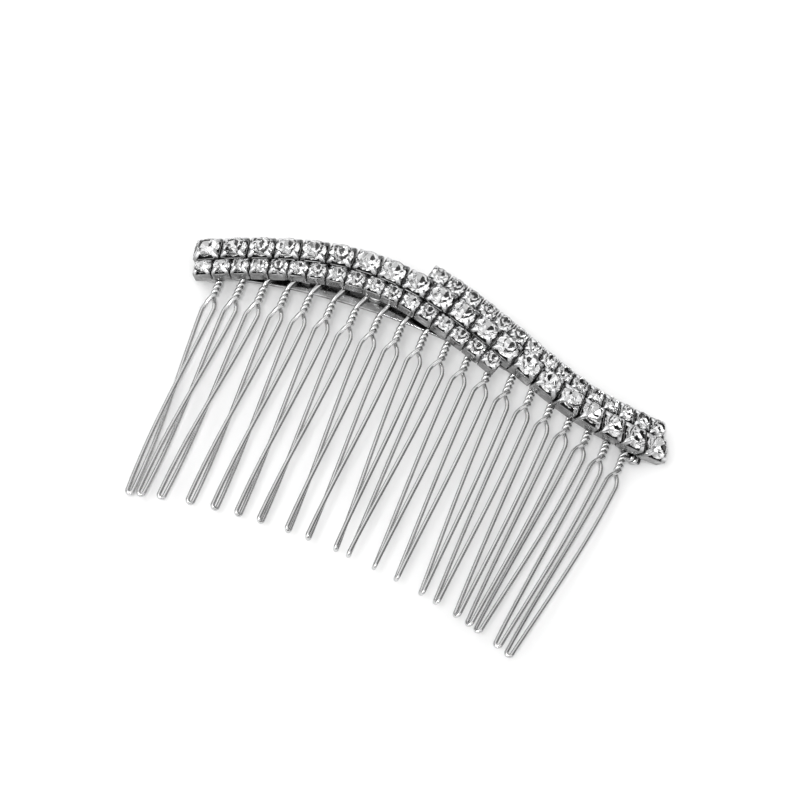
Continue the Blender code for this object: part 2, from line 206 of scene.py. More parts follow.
def on_arch(s, y, h):
    """A place on the comb in millimetres, in the arch's own frame."""
    a = s / ARCH_RADIUS
    return Vector(((ARCH_RADIUS + h) * math.sin(a), y, (ARCH_RADIUS + h) * math.cos(a)))


def arch_axes(s):
    """Unit vectors along the arch, along Y and out of the convex face."""
    a = s / ARCH_RADIUS
    return (Vector((math.cos(a), 0.0, -math.sin(a))), Vector((0.0, 1.0, 0.0)),
            Vector((math.sin(a), 0.0, math.cos(a))))


def smoothstep(t):
    t = min(max(t, 0.0), 1.0)
    return t * t * (3.0 - 2.0 * t)


def mix(a, b, t):
    return a + (b - a) * t


def hermite(p0, m0, p1, m1, t):
    """Smooth way from p0 to p1, which leaves with slope m0 and arrives with m1."""
    return ((2 * t ** 3 - 3 * t ** 2 + 1) * p0 + (t ** 3 - 2 * t ** 2 + t) * m0
            + (3 * t ** 2 - 2 * t ** 3) * p1 + (t ** 3 - t ** 2) * m1)


def tooth_s(number):
    return (number - 0.5 - TEETH / 2) * TOOTH_PITCH


def tip_place(number):
    s_root = tooth_s(number)
    lean = TIP_LEAN
    if s_root > END_LEAN_FROM:
        lean += END_LEAN * ((s_root - END_LEAN_FROM) / END_LEAN_LENGTH) ** END_LEAN_POWER
    s = s_root - lean + TIP_STRAY[number - 1]
    tip = on_arch(s, CAD_WIRE / 2 - (TOOTH_REACH + REACH_SLOPE * s_root), 0.0)
    tip.z -= TIP_DROP + TIP_ARCH * (s / tooth_s(TEETH)) ** 2
    return tip


def rail_point(s):
    """Height y of the large row's middle line: smooth between the knots of RAIL."""
    for (s0, y0, m0), (s1, y1, m1) in zip(RAIL, RAIL[1:]):
        if s <= s1:
            break
    width = s1 - s0
    return hermite(y0, width * m0, y1, width * m1, (s - s0) / width)


class Line:
    """The large row's line, or a line beside it, measured along its own length."""

    def __init__(self, offset, spread=(0.0, 0.0)):
        s = np.linspace(RAIL[0][0], RAIL[-1][0], LINE_SAMPLES)
        y = np.array([rail_point(v) for v in s])
        slope = np.arctan2(np.gradient(y), np.gradient(s))
        s, y = s - offset * np.sin(slope), y + offset * np.cos(slope)
        self.u = np.concatenate(([0.0], np.cumsum(np.hypot(np.diff(s), np.diff(y)))))
        self.s, self.y, self.slope = s, y, slope
        self.length = self.u[-1]
        self.spread = spread

    def at(self, u):
        return (float(np.interp(u, self.u, self.s)), float(np.interp(u, self.u, self.y)),
                float(np.interp(u, self.u, self.slope)))

    def matrix(self, u):
        """Frame of a cup or stone in millimetres: X along the line, Z out of the convex face."""
        s, y, slope = self.at(u)
        share = max(0.0, (abs(s) - END_FROM) / END_LENGTH)
        most = self.spread[1] if s > 0 else self.spread[0]
        s += math.copysign(most * share * share, s)
        stretch = ROW_STRETCH + 2.0 * most * share / END_LENGTH
        along, up, out = arch_axes(s)
        x_axis = along * math.cos(slope) + up * math.sin(slope)
        m = Matrix((x_axis * stretch, out.cross(x_axis), out)).transposed().to_4x4()
        m.translation = on_arch(s, y, ORNAMENT_BASE)
        return m


# ---------------------------------------------------------------- meshes
class Shape:
    """Vertices in millimetres, faces and their material slots."""

    def __init__(self):
        self.verts, self.faces, self.slots, self.grain = [], [], [], []

    def add(self, verts, faces, slot=0, matrix=None, grain=None):
        base = len(self.verts)
        self.verts += [matrix @ v for v in verts] if matrix is not None else list(verts)
        self.faces += [tuple(base + i for i in f) for f in faces]
        self.slots += list(slot) if isinstance(slot, (list, tuple)) else [slot] * len(faces)
        self.grain += grain if grain is not None else [(0.0, 0.0, 0.0)] * len(verts)

    def make(self, name, materials, smooth_angle=None):
        mesh = bpy.data.meshes.new(name)
        mesh.from_pydata([tuple(v * MM + ORIGIN) for v in self.verts], [], self.faces)
        for material in materials:
            mesh.materials.append(material)
        mesh.polygons.foreach_set("material_index", self.slots)
        attribute = mesh.attributes.new("grain", "FLOAT_VECTOR", "POINT")
        attribute.data.foreach_set("vector", [c for g in self.grain for c in g])
        mesh.update()
        if smooth_angle is not None:
            mesh.shade_smooth()
            mesh.set_sharp_from_angle(angle=math.radians(smooth_angle))
        obj = bpy.data.objects.new(name, mesh)
        bpy.context.scene.collection.objects.link(obj)
        return obj


def place(obj, slot, *nodes):
    """Rides on the comb's one body and stands for these CAD nodes."""
    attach(obj, "root")
    if nodes:
        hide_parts(*nodes)
    return obj


def loft_faces(rings, sides, closed_ends=True):
    faces = []
    for k in range(rings - 1):
        for i in range(sides):
            j = (i + 1) % sides
            faces.append((k * sides + i, k * sides + j, (k + 1) * sides + j,
                          (k + 1) * sides + i))
    if closed_ends:
        faces.append(tuple(reversed(range(sides))))
        faces.append(tuple((rings - 1) * sides + i for i in range(sides)))
    return faces


def round_corners(points, rounds):
    """Cuts the corners of an open path; its two ends stay."""
    for _ in range(rounds):
        cut = [points[0]]
        for a, b in zip(points, points[1:]):
            cut += [a.lerp(b, 0.25), a.lerp(b, 0.75)]
        cut.append(points[-1])
        points = cut
    return points


def tube(points, radius, sides):
    """Verts, faces and grain of a round wire along a path; its frame does not twist."""
    tangents = []
    last = len(points) - 1
    for k in range(len(points)):
        tangents.append((points[min(k + 1, last)] - points[max(k - 1, 0)]).normalized())
    axis = tangents[0].orthogonal().normalized()
    verts, grain, length = [], [], 0.0
    for k, p in enumerate(points):
        if k:
            turn = tangents[k - 1].rotation_difference(tangents[k])
            axis = turn @ axis
            length += (p - points[k - 1]).length
        axis = (axis - tangents[k] * axis.dot(tangents[k])).normalized()
        other = tangents[k].cross(axis)
        for i in range(sides):
            t = 2 * math.pi * i / sides
            verts.append(p + radius * (math.cos(t) * axis + math.sin(t) * other))
            grain.append((math.cos(t), math.sin(t), length))
    return verts, loft_faces(len(points), sides), grain


# ---------------------------------------------------------------- materials
def add_node(tree, kind, inputs=None, **settings):
    """A node with its settings made and its inputs linked or given a value."""
    n = tree.nodes.new(kind)
    for key, value in settings.items():
        setattr(n, key, value)
    for key, value in (inputs or {}).items():
        if isinstance(value, bpy.types.NodeSocket):
            tree.links.new(value, n.inputs[key])
        else:
            n.inputs[key].default_value = value
    return n


class Nodes:
    """A material's nodes, made and linked in one call each."""

    def __init__(self, name):
        self.material = bpy.data.materials.new(name)
        self.material.use_nodes = True
        self.tree = self.material.node_tree
        self.shader = self.tree.nodes["Principled BSDF"]

    def node(self, kind, inputs=None, **settings):
        return add_node(self.tree, kind, inputs, **settings)

    def set(self, **values):
        for key, value in values.items():
            socket = self.shader.inputs[key.replace("_", " ")]
            if isinstance(value, bpy.types.NodeSocket):
                self.tree.links.new(value, socket)
            else:
                socket.default_value = value

    def vector(self, source, scale):
        """Scaled object coordinates in millimetres, or the mesh's grain: the wire's own grain
        coordinates, or a cup's height for its painted highlight.
        """
        if source == "grain":
            out = self.node("ShaderNodeAttribute", attribute_name="grain").outputs["Vector"]
        else:
            out = self.node("ShaderNodeTexCoord").outputs["Object"]
            scale = [v / MM for v in scale]
        return self.node("ShaderNodeVectorMath", {0: out, 1: scale},
                         operation="MULTIPLY").outputs["Vector"]

    def noise(self, vector, scale=1.0, detail=3.0, rough=0.5):
        return self.node("ShaderNodeTexNoise", {"Vector": vector, "Scale": scale,
                         "Detail": detail, "Roughness": rough}).outputs["Fac"]

    def spread(self, value, low, high, start=0.3, end=0.7):
        """Maps a noise's middle range to low .. high."""
        return self.node("ShaderNodeMapRange", {"Value": value, "From Min": start,
                         "From Max": end, "To Min": low, "To Max": high}).outputs["Result"]

    def colours(self, value, *stops):
        ramp = self.node("ShaderNodeValToRGB", {"Fac": value})
        elements = ramp.color_ramp.elements
        while len(elements) < len(stops):
            elements.new(0.5)
        for element, (position, colour) in zip(elements, stops):
            element.position = position
            element.color = (*colour, 1.0)
        return ramp.outputs["Color"]

    def bump(self, height, strength, distance):
        return self.node("ShaderNodeBump", {"Height": height, "Strength": strength,
                         "Distance": distance * MM}).outputs["Normal"]

    def add(self, a, b, share=1.0):
        scaled = self.node("ShaderNodeMath", {0: b, 1: share}, operation="MULTIPLY")
        return self.node("ShaderNodeMath", {0: a, 1: scaled.outputs[0]},
                         operation="ADD").outputs[0]


def grey(v, tint=0.0):
    return (v, v + tint * 0.3, v + tint)


def wire_material():
    """Plated drawn wire: fine lines along it, and a gloss that is a little uneven."""
    m = Nodes("plated_wire")
    lines = m.noise(m.vector("grain", (3.0, 3.0, 0.12)), scale=2.0, rough=0.6)
    cloud = m.noise(m.vector("object", (0.35, 0.35, 0.35)), detail=4.0, rough=0.6)
    gloss = m.noise(m.vector("object", (0.5, 0.5, 0.5)), detail=2.0)
    m.set(Metallic=1.0)
    m.set(Base_Color=m.colours(m.add(lines, cloud, 0.5), (0.45, grey(0.52)), (0.72, grey(0.64)),
                               (1.0, grey(0.72, 0.01))))
    m.set(Specular_Tint=(0.4, 0.4, 0.4, 1.0))
    m.set(Roughness=m.spread(m.add(gloss, lines, 0.4), 0.05, 0.12, start=0.45, end=0.95))
    m.set(Normal=m.bump(lines, strength=0.05, distance=0.005))
    return m.material


def band_material():
    """Polished strip with rolling lines along it and dull patches from handling."""
    m = Nodes("polished_band")
    lines = m.noise(m.vector("object", (0.25, 9.0, 0.25)), rough=0.6)
    cloud = m.noise(m.vector("object", (0.45, 0.8, 0.45)), detail=4.0, rough=0.6)
    m.set(Metallic=1.0)
    m.set(Base_Color=m.colours(m.add(cloud, lines, 0.3), (0.4, grey(0.12)), (0.62, grey(0.24)),
                               (0.9, grey(0.42, 0.01))))
    m.set(Roughness=m.spread(m.add(cloud, lines, 0.5), 0.10, 0.24, start=0.5, end=1.0))
    m.set(Normal=m.bump(m.add(cloud, lines, 0.25), strength=0.20, distance=0.08))
    return m.material


def cup_material():
    """Plated pressed sheet; a painted highlight makes it lighter up towards the claws' tips."""
    m = Nodes("plated_cups")
    cloud = m.noise(m.vector("object", (0.8, 0.8, 0.8)), detail=4.0, rough=0.6)
    fine = m.noise(m.vector("object", (4.0, 4.0, 4.0)), rough=0.6)
    height = m.node("ShaderNodeSeparateXYZ", {0: m.vector("grain", (1.0, 1.0, 1.0))})
    # Painted highlight: the colour grows lighter towards the top of each claw and stays darker low
    # on the walls.
    painted_highlight = m.spread(height.outputs["Z"], 0.0, 0.6, start=0.72, end=0.95)
    m.set(Metallic=1.0)
    tone = m.add(m.add(cloud, fine, 0.3), painted_highlight, 0.8)
    m.set(Base_Color=m.colours(tone, (0.45, grey(0.20)), (0.72, grey(0.32)),
                               (1.0, grey(0.66, 0.01))))
    m.set(Roughness=m.spread(m.add(fine, cloud, 0.5), 0.14, 0.32, start=0.5, end=1.0))
    m.set(Normal=m.bump(m.add(cloud, fine, 0.3), strength=0.3, distance=0.06))
    return m.material


def painted_shade_inside_material():
    """The cups' inside, painted near black as painted shade in the hollow round the stones."""
    m = Nodes("cup_inside_painted_shade")
    cloud = m.noise(m.vector("object", (1.6, 1.6, 1.6)), rough=0.6)
    m.set(Metallic=0.6)
    m.set(Base_Color=m.colours(cloud, (0.3, grey(0.03)), (0.7, grey(0.09))))
    m.set(Roughness=m.spread(cloud, 0.4, 0.6))
    m.set(Normal=m.bump(cloud, strength=0.3, distance=0.05))
    return m.material


def solder_material():
    """Dull, lumpy soft solder."""
    m = Nodes("solder")
    lumps = m.noise(m.vector("object", (1.1, 1.1, 1.1)), detail=4.0, rough=0.6)
    grain = m.noise(m.vector("object", (7.0, 7.0, 7.0)), rough=0.6)
    m.set(Metallic=1.0)
    m.set(Base_Color=m.colours(m.add(lumps, grain, 0.4), (0.4, grey(0.22)), (0.7, grey(0.40)),
                               (0.95, grey(0.52))))
    m.set(Roughness=m.spread(m.add(lumps, grain, 0.5), 0.28, 0.55, start=0.5, end=1.0))
    m.set(Normal=m.bump(m.add(lumps, grain, 0.4), strength=0.5, distance=0.12))
    return m.material


def glass_material():
    """Clear cut glass; its polish is a little cloudy here and there."""
    m = Nodes("clear_cut_glass")
    cloud = m.noise(m.vector("object", (0.9, 0.9, 0.9)))
    m.set(Base_Color=m.colours(cloud, (0.3, grey(0.93, 0.01)), (0.7, grey(0.99))))
    m.set(Transmission_Weight=1.0)
    m.set(IOR=1.56)
    m.set(Roughness=m.spread(cloud, 0.0, 0.015))
    return m.material


def foil_material():
    """Silver foil on the stones' backs, seen through the glass."""
    m = Nodes("stone_foil")
    cloud = m.noise(m.vector("object", (1.3, 1.3, 1.3)), rough=0.6)
    m.set(Metallic=1.0)
    m.set(Base_Color=m.colours(cloud, (0.3, grey(0.72)), (0.7, grey(0.87))))
    m.set(Roughness=m.spread(cloud, 0.0, 0.05))
    return m.material


def floor_material():
    m = Nodes("pale_floor")
    cloud = m.noise(m.vector("object", (0.02, 0.02, 0.02)))
    m.set(Base_Color=m.colours(cloud, (0.3, grey(0.89)), (0.7, grey(0.91))))
    m.set(Roughness=0.9)
    m.set(Specular_IOR_Level=0.1)
    return m.material


# ---------------------------------------------------------------- band and wire
def build_band(material):
    """A smooth strip with rounded edges, bent along the arch."""
    half, r = BAND_THICK / 2, BAND_EDGE
    middle = (BAND_Y0 + BAND_Y1) / 2
    section = []
    for y, h, start in ((BAND_Y1 - r, half - r, 0), (BAND_Y0 + r, half - r, 90),
                        (BAND_Y0 + r, r - half, 180), (BAND_Y1 - r, r - half, 270)):
        for k in range(QUARTER_STEPS + 1):
            t = math.radians(start + 90 / QUARTER_STEPS * k)
            section.append((y + r * math.cos(t), h + r * math.sin(t)))
    verts = []
    for k in range(BAND_STATIONS):
        s = mix(-BAND_HALF, BAND_HALF, k / (BAND_STATIONS - 1))
        end = 1.0 if 0 < k < BAND_STATIONS - 1 else BAND_END_SCALE
        verts += [on_arch(s, mix(middle, y, end), h * end) for y, h in section]
    shape = Shape()
    shape.add(verts, [tuple(reversed(f)) for f in loft_faces(BAND_STATIONS, len(section))])
    place(shape.make("spine_band_polished", [material], BAND_SHARP), "band", "spine_band")


def add_wire(node, suffix, path, material):
    """One length of round wire along a path, which stands for its CAD node."""
    verts, faces, grain = tube(path, WIRE_RADIUS, WIRE_SIDES)
    shape = Shape()
    shape.add(verts, faces, grain=grain)
    place(shape.make(node + suffix, [material], ROUND_SHARP), "wire", node)


def stations():
    """Arc lengths where the wire starts up the band's front: coil, teeth, coil."""
    left = [tooth_s(1) - COIL_FIRST - COIL_PITCH * k for k in reversed(range(COIL_TURNS))]
    right = [tooth_s(TEETH) + COIL_FIRST + COIL_PITCH * k for k in range(COIL_TURNS)]
    return left + [tooth_s(n) for n in range(1, TEETH + 1)] + right


def lean_of(s, following):
    """How far the run of wire at s leans on its way up, less where the next run is close."""
    return min(FRONT_ADVANCE, LEAN_SHARE * (following - s))


def front_run(s, following):
    """From the band's lower front edge up the front and over the upper edge."""
    lean = lean_of(s, following)
    return [(s + LOW_LEAN * lean, BAND_Y0 + LOW_MARGIN, FRONT),
            (s + lean, BAND_Y1 - TOP_MARGIN, FRONT),
            (s + EDGE_LEAN * lean, OVER, FRONT * EDGE_SHARE),
            (s + FAR_LEAN * lean, OVER, -FRONT * EDGE_SHARE)]


def back_run(s, following):
    """The upper and the lower corner of the run down the band's back."""
    top = (s + BACK_LEAN * lean_of(s, following), BAND_Y1 - TOP_MARGIN, -FRONT)
    low = (following - NEXT_GAP, BAND_Y0 + LOW_MARGIN, -FRONT)
    return top, low


def cut_place(s, following):
    """Where, on the back, one tooth's wire ends and the next one's begins."""
    top, low = back_run(s, following)
    return tuple(mix(a, b, CUT) for a, b in zip(top, low))


def leg_pair(number):
    """The two strands from the neck's top to the tip: left one, right one, tip arc."""
    s = tooth_s(number)
    along, up, out = arch_axes(s)
    twist_end = on_arch(s, TWIST_END, 0.0)
    tip = tip_place(number)
    reach = (tip - twist_end).length
    straight = tip - twist_end
    start_slope = (-up * reach).lerp(straight, NECK_AIM)
    share = (number - 1) / (TEETH - 1)
    tip_turn = math.radians(mix(TIP_TURN_FIRST, TIP_TURN_LAST, share))
    taper = mix(TAPER_FIRST, TAPER_LAST, share)
    left, right = [], []

    def strands(centre, tangent, angle, half):
        """Adds a point to either strand; gives the direction from the left to the right one."""
        e1 = (along - tangent * along.dot(tangent)).normalized()
        e2 = e1.cross(tangent) * (1.0 if e1.cross(tangent).dot(out) > 0 else -1.0)
        side = e1 * math.cos(angle) + e2 * math.sin(angle)
        right.append(centre + side * half)
        left.append(centre - side * half)
        return side

    neck = NECK_TOP - TWIST_END
    for k in range(TWIST_STEPS):
        t = k / TWIST_STEPS
        angle = -2 * math.pi * (TWIST_TURNS * (1 - t) + OPENING_TURN)
        strands(on_arch(s, NECK_TOP - neck * t, 0.0), -up, angle, STRAND_OFFSET)
    for k in range(LEG_STEPS + 1):
        t = (k / LEG_STEPS) ** LEG_CROWDING * (1.0 - TIP_HALF / reach)
        d = t * reach
        centre = hermite(twist_end, start_slope, tip, straight, t)
        ahead = hermite(twist_end, start_slope, tip, straight, t + AHEAD)
        tangent = (ahead - centre).normalized()
        loose = 1.0 - smoothstep(0.5 + 0.5 * d / OPENING_LENGTH)
        angle = -2 * math.pi * OPENING_TURN * 2.0 * loose + tip_turn * (d / reach) ** TIP_TURN_POWER
        opening = smoothstep(d / SHOULDER_LENGTH)
        wide = mix(SHOULDER, TIP_HALF, t ** taper)
        side = strands(centre, tangent, angle, mix(STRAND_OFFSET, wide, opening))
        last = centre
    arc = []
    for k in range(1, TIP_STEPS):
        t = math.pi * k / TIP_STEPS
        arc.append(last + TIP_HALF * (side * math.cos(t) + tangent * math.sin(t)))
    return left, right, arc


def build_tooth(number, material):
    """One length of wire: down the back, twisted neck, hairpin, up the front and over."""
    places = stations()
    k = COIL_TURNS + number - 1
    before, s, after = places[k - 1], places[k], places[k + 1]
    left, right, arc = leg_pair(number)
    down = round_corners([on_arch(*p) for p in (cut_place(before, s), back_run(before, s)[1])]
                         + [right[0]], rounds=2)
    run = front_run(s, after) + [back_run(s, after)[0], cut_place(s, after)]
    over = round_corners([left[0]] + [on_arch(*p) for p in run], rounds=3)
    path = down[:-1] + right + arc + left[::-1] + over[1:]
    add_wire(f"tooth_{number:02d}", "_wire", path, material)


def build_coil(name, side, material):
    """The wire's ends, wound round the band outside the outermost teeth."""
    places = stations()
    if side < 0:
        turns = list(zip(places[:COIL_TURNS], places[1:COIL_TURNS + 1]))
        corners = [(turns[0][0], UNDER, -COIL_START)]
        for s, following in turns:
            corners += [(s, UNDER, FRONT * EDGE_SHARE)] + front_run(s, following)
            corners += list(back_run(s, following))
            corners.append((following, UNDER, -FRONT * EDGE_SHARE))
        corners = corners[:-2] + [cut_place(*turns[-1])]
    else:
        first = (places[-COIL_TURNS - 1], places[-COIL_TURNS])
        corners = [cut_place(*first), back_run(*first)[1]]
        for k in range(COIL_TURNS):
            s = places[-COIL_TURNS + k]
            following = s + COIL_PITCH
            corners += [(s, UNDER, -FRONT * EDGE_SHARE), (s, UNDER, FRONT * EDGE_SHARE)]
            corners += front_run(s, following) + list(back_run(s, following))
        corners = corners[:-1]
    path = round_corners([on_arch(*p) for p in corners], rounds=3)
    add_wire(name, "_coil", path, material)


# ---------------------------------------------------------------- cups and stones
def cup_outline(side, corner, post):
    """Points (x, y, how far up the claw 0..1) round a square cup with rounded corners."""
    inner, centre = side - post, side - corner
    flank = [(inner - CLAW_ROOT, 0.0), (inner, CLAW_RISE[0]),
             ((inner + side - corner) / 2, CLAW_RISE[1]), (centre, CLAW_RISE[2])]
    points = []
    for q in range(4):
        turn = Matrix.Rotation(math.pi / 2 * q, 2)
        for p, rise in [(0.0, 0.0)] + flank:
            points.append((turn @ Vector((side, p)), rise))
        for k in range(1, QUARTER_STEPS):
            t = math.pi / 2 / QUARTER_STEPS * k
            bent = Vector((centre + corner * math.cos(t), centre + corner * math.sin(t)))
            points.append((turn @ bent, 1.0))
        for p, rise in reversed(flank):
            points.append((turn @ Vector((p, side)), rise))
    return points


def build_cup(shape, cup, matrix, jitter):
    """A pressed cup: floor, four walls, and a claw at each corner bent in over the stone."""
    outline = cup_outline(cup["side"], CUP_CORNER, cup["post"])
    count = len(outline)
    bend_from = BEND_FROM * cup["claw"]
    lean = [jitter.uniform(*CLAW_LEAN) for _ in range(4)]
    tall = [jitter.uniform(*CLAW_STRAY) for _ in range(4)]
    reach_in = cup["side"] * CLAW_DIAGONAL - cup["stone"] * CLAW_HOLD

    def ring(level, inset, lift=0.0):
        """The outline at a share of the wall's height, drawn in and lifted."""
        ring_verts = []
        for p, rise in outline:
            quadrant = (0 if p.x > 0 else 1) + (0 if p.y > 0 else 2)
            facing_next = abs(p.x) > abs(p.y)
            wall = cup["wall"] + (END_WALL_RISE * cup["side"] if facing_next else 0.0)
            top = mix(wall, cup["claw"] + tall[quadrant], rise) + lift
            z = mix(CUP_FOOT, top, level)
            over = max(0.0, (z - bend_from) / (cup["claw"] - bend_from))
            shrink = inset + (FOOT_ROUNDING if level == 0.0 else 0.0)
            move = reach_in * lean[quadrant] * over ** BEND_POWER if rise > 0.5 else 0.0
            diagonal = Vector((math.copysign(DIAGONAL, p.x), math.copysign(DIAGONAL, p.y)))
            q = p * (1.0 - shrink / cup["side"]) - diagonal * move
            ring_verts.append(Vector((q.x, q.y, z)))
        return ring_verts

    verts = []
    for level in CUP_LEVELS:
        verts += ring(level, 0.0)
    verts += ring(1.0, SHEET * 0.5, RIM_RISE)
    for level in reversed(CUP_LEVELS[1:]):
        verts += ring(level, SHEET)
    rings = len(verts) // count
    for v in verts[-count:]:
        v.z = CUP_FOOT + SHEET
    outer_faces = (len(CUP_LEVELS) + 1) * count
    inner_faces = (rings - 1) * count - outer_faces
    # Slot 1, the inner walls and the inner floor, takes the painted shade of the cups' inside.
    slots = [0] * outer_faces + [1] * inner_faces + [0, 1]
    # Height up the cup, 0 at its foot and 1 at a claw's top: it places the painted highlight on the
    # claws' tips.
    grain = [(0.0, 0.0, (v.z - CUP_FOOT) / (cup["claw"] - CUP_FOOT)) for v in verts]
    shape.add(verts, loft_faces(rings, count), slots, matrix, grain)


def build_link(shape, line, u, gap, half):
    """The flat strip that joins two cups under their gap."""
    verts = []
    low, high = CUP_FOOT + LINK_LOW, CUP_FOOT + LINK_HIGH
    for k in range(LINK_STEPS + 1):
        m = line.matrix(u + (k / LINK_STEPS - 0.5) * (gap + LINK_OVERLAP))
        for v, h in ((-half, low), (half, low), (half, high), (-half, high)):
            verts.append(m @ Vector((0.0, v, h)))
    shape.add(verts, [tuple(reversed(f)) for f in loft_faces(LINK_STEPS + 1, 4)])


def small_turn(degrees, axis, jitter):
    """A turn about an axis of up to so many degrees either way."""
    return Matrix.Rotation(math.radians(jitter.uniform(-degrees, degrees)), 4, axis)


def build_cup_row(name, line, start, pitch, count, cup, materials, jitter):
    shape = Shape()
    for k in range(count):
        matrix = line.matrix(start + pitch * (k + 0.5))
        wobble = small_turn(CUP_TURN, "Z", jitter) @ small_turn(CUP_TILT, "X", jitter)
        build_cup(shape, cup, matrix @ wobble, jitter)
        if k:
            build_link(shape, line, start + pitch * k, pitch - 2 * cup["side"],
                       LINK_SHARE * cup["side"])
    place(shape.make(name + "_claws", materials, CUP_SHARP), "cups", name)


def stone_facets(radius, girdle, table):
    """A cut stone: table, 8 edge triangles, 8 kites, girdle, and 8 foiled facets behind."""
    rim = STONE_RIM * radius
    top, bottom = girdle + rim, girdle - rim
    scallop = CULET + (bottom - CULET) / math.cos(math.pi / 8)

    def at(r, step, z):
        t = math.pi / 8 * step
        return Vector((r * math.cos(t), r * math.sin(t), z))

    verts = [at(TABLE_SHARE * radius, 2 * i + 1, table) for i in range(8)]
    verts += [at(radius, i, top) for i in range(16)]
    verts += [at(radius, i, scallop if i % 2 else bottom) for i in range(16)]
    verts.append(Vector((0.0, 0.0, CULET)))
    high, low, point = 8, 24, 40
    faces, slots = [tuple(range(8))], [0]
    for i in range(8):
        a, b, c = 2 * i, 2 * i + 1, (2 * i + 2) % 16
        faces += [(i, high + c, (i + 1) % 8), (i, high + a, high + b), (i, high + b, high + c),
                  (high + a, low + a, low + b, high + b), (high + b, low + b, low + c, high + c),
                  (low + a, point, low + c, low + b)]
        slots += [0, 0, 0, 0, 0, 1]
    return verts, faces, slots


def stone_matrix(line, u, jitter):
    """A stone's place, turned a little and set a little askew."""
    return (line.matrix(u) @ small_turn(STONE_TURN, "Z", jitter)
            @ small_turn(STONE_TILT, "X", jitter) @ small_turn(STONE_TILT, "Y", jitter))


def add_stone(shape, cup, matrix):
    verts, faces, slots = stone_facets(cup["stone"], cup["girdle"], cup["table"])
    shape.add(verts, faces, slots, matrix)


def build_large_stones(line, pitch, materials, jitter):
    for k in range(LARGE_COUNT):
        shape = Shape()
        add_stone(shape, LARGE, stone_matrix(line, pitch * (k + 0.5), jitter))
        name = f"large_stone_{k + 1:02d}"
        place(shape.make(name + "_cut", materials), "stone", name)


def build_small_stones(name, line, start, count, materials, jitter):
    shape = Shape()
    for k in range(count):
        add_stone(shape, SMALL, stone_matrix(line, start + SMALL_PITCH * (k + 0.5), jitter))
    place(shape.make(name + "_cut", materials), "stone", name)


# ---------------------------------------------------------------- solder
def lump(shape, matrix, half_x, half_y, low, high, jitter):
    """A run-out blob of solder: wide foot, waist and wide top."""
    # Each lump takes three draws, and its outline uses the first two.
    wave, ripple, _ = [jitter.uniform(0, 2 * math.pi) for _ in range(3)]
    verts = []
    for f, wide in LUMP_PROFILE:
        for i in range(LUMP_SIDES):
            t = 2 * math.pi * i / LUMP_SIDES
            uneven = (1.0 + LUMP_WAVE * math.sin(2 * t + wave)
                      + LUMP_RIPPLE * math.sin(5 * t + ripple + f))
            x, y = math.cos(t), math.sin(t)
            square = (abs(x) ** LUMP_POWER + abs(y) ** LUMP_POWER) ** (-1 / LUMP_POWER)
            verts.append(Vector((x * half_x * wide * uneven * square,
                                 y * half_y * wide * uneven * square, mix(low, high, f))))
    shape.add(verts, loft_faces(len(LUMP_PROFILE), LUMP_SIDES), matrix=matrix)


def build_pads(material, jitter):
    """Solder between the band and the cups, in the clear spaces between the wires."""
    for k, number in enumerate(PAD_TEETH):
        s = tooth_s(number) + TOOTH_PITCH / 2 + PAD_SHIFT
        m = Matrix(arch_axes(s)).transposed().to_4x4()
        m.translation = on_arch(s, PAD_Y, 0.0)
        shape = Shape()
        lump(shape, m, PAD_HALF_X, PAD_HALF_Y, BAND_THICK / 2 - PAD_BITE,
             ORNAMENT_BASE + CUP_FOOT + PAD_BITE, jitter)
        name = f"solder_pad_{k + 1}"
        place(shape.make(name + "_lump", [material], ROUND_SHARP), "solder", name)


def build_row_solder(name, line, start, end, material, jitter):
    """Small joints that hold a small row to the large one, under the gap between them."""
    shape = Shape()
    count = int((end - start) / JOINT_SPACING)
    for k in range(count):
        m = line.matrix(start + (end - start) * (k + 0.5) / count)
        lump(shape, m, JOINT_HALF_X, JOINT_HALF_Y, CUP_FOOT - JOINT_BELOW, CUP_FOOT + JOINT_ABOVE,
             jitter)
    place(shape.make(name, [material], ROUND_SHARP), "solder")


# ---------------------------------------------------------------- stage
def camera_direction():
    """Unit vector from the comb to the camera."""
    azimuth, elevation = math.radians(CAMERA_AZIMUTH), math.radians(CAMERA_ELEVATION)
    return Vector((math.sin(azimuth) * math.cos(elevation),
                   -math.cos(azimuth) * math.cos(elevation), math.sin(elevation)))


def add_camera():
    """The photograph's view: it looks at the comb and is rolled about its own axis."""
    roll = math.radians(CAMERA_ROLL)
    toward = camera_direction()
    right = (-toward).cross(Vector((0.0, 0.0, 1.0))).normalized()
    up = right.cross(-toward)
    x_axis = right * math.cos(roll) + up * math.sin(roll)
    y_axis = up * math.cos(roll) - right * math.sin(roll)
    data = bpy.data.cameras.new("camera")
    data.lens = CAMERA_LENS
    data.sensor_width = CAMERA_SENSOR
    data.clip_start = CAMERA_CLIP
    camera = bpy.data.objects.new("camera", data)
    m = Matrix((x_axis, y_axis, toward)).transposed().to_4x4()
    m.translation = CAMERA_PLACE
    camera.matrix_world = m
    bpy.context.scene.collection.objects.link(camera)
    bpy.context.scene.camera = camera


def area_light(name, place_at, size, power):
    """A soft rectangular light, aimed at the comb's middle."""
    data = bpy.data.lights.new(name, "AREA")
    data.shape = "RECTANGLE"
    data.size, data.size_y = size
    data.energy = power
    light = bpy.data.objects.new(name, data)
    light.location = place_at
    light.rotation_euler = (-Vector(place_at)).to_track_quat("-Z", "Y").to_euler()
    bpy.context.scene.collection.objects.link(light)


